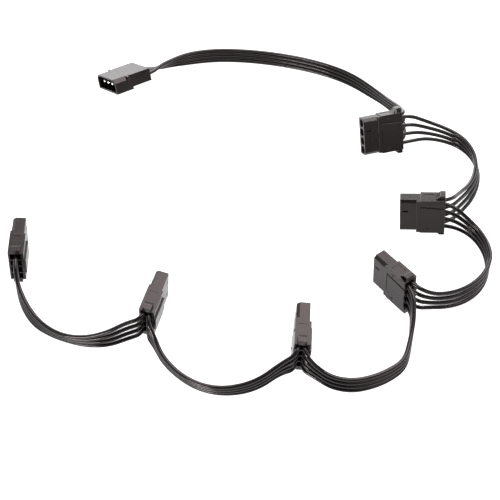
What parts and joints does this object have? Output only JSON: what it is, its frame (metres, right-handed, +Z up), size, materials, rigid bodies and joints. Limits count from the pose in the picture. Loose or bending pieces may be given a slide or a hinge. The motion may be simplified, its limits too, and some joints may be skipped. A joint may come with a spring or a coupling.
{
  "type": "power splitter cable",
  "caption": "Black computer power splitter lead: a hooded pin plug feeds a chain of round-hole sockets through loose rows of insulated wires, laid out on a table in an open C.",
  "frame": {"origin": "on the surface that the lead lies on, under the middle of the box round its connectors", "axes": "+Z up from the surface, +Y away from the viewer of the picture, +X to the right"},
  "size_m": [0.2502, 0.245, 0.027],
  "materials": {
    "housing": "satin moulded nylon, black",
    "contact": "bright tin plating over brass",
    "insulation": "smooth black insulation with a soft sheen"
  },
  "bodies": {
    "root": {"plug_housing": "housing", "plug_pin_1": "contact", "plug_pin_2": "contact", "plug_pin_3": "contact", "plug_pin_4": "contact", "socket_1_housing": "housing", "socket_1_contact_1": "contact", "socket_1_contact_2": "contact", "socket_1_contact_3": "contact", "socket_1_contact_4": "contact", "socket_2_housing": "housing", "socket_2_contact_1": "contact", "socket_2_contact_2": "contact", "socket_2_contact_3": "contact", "socket_2_contact_4": "contact", "socket_3_housing": "housing", "socket_3_contact_1": "contact", "socket_3_contact_2": "contact", "socket_3_contact_3": "contact", "socket_3_contact_4": "contact", "socket_4_housing": "housing", "socket_4_contact_1": "contact", "socket_4_contact_2": "contact", "socket_4_contact_3": "contact", "socket_4_contact_4": "contact", "socket_5_housing": "housing", "socket_5_contact_1": "contact", "socket_5_contact_2": "contact", "socket_5_contact_3": "contact", "socket_5_contact_4": "contact", "socket_6_housing": "housing", "socket_6_contact_1": "contact", "socket_6_contact_2": "contact", "socket_6_contact_3": "contact", "socket_6_contact_4": "contact", "wire_1_1": "insulation", "wire_1_2": "insulation", "wire_1_3": "insulation", "wire_1_4": "insulation", "wire_2_1": "insulation", "wire_2_2": "insulation", "wire_2_3": "insulation", "wire_2_4": "insulation", "wire_3_1": "insulation", "wire_3_2": "insulation", "wire_3_3": "insulation", "wire_3_4": "insulation", "wire_4_1": "insulation", "wire_4_2": "insulation", "wire_4_3": "insulation", "wire_4_4": "insulation", "wire_5_1": "insulation", "wire_5_2": "insulation", "wire_5_3": "insulation", "wire_5_4": "insulation", "wire_6_1": "insulation", "wire_6_2": "insulation", "wire_6_3": "insulation", "wire_6_4": "insulation"}
  },
  "joints": []
}
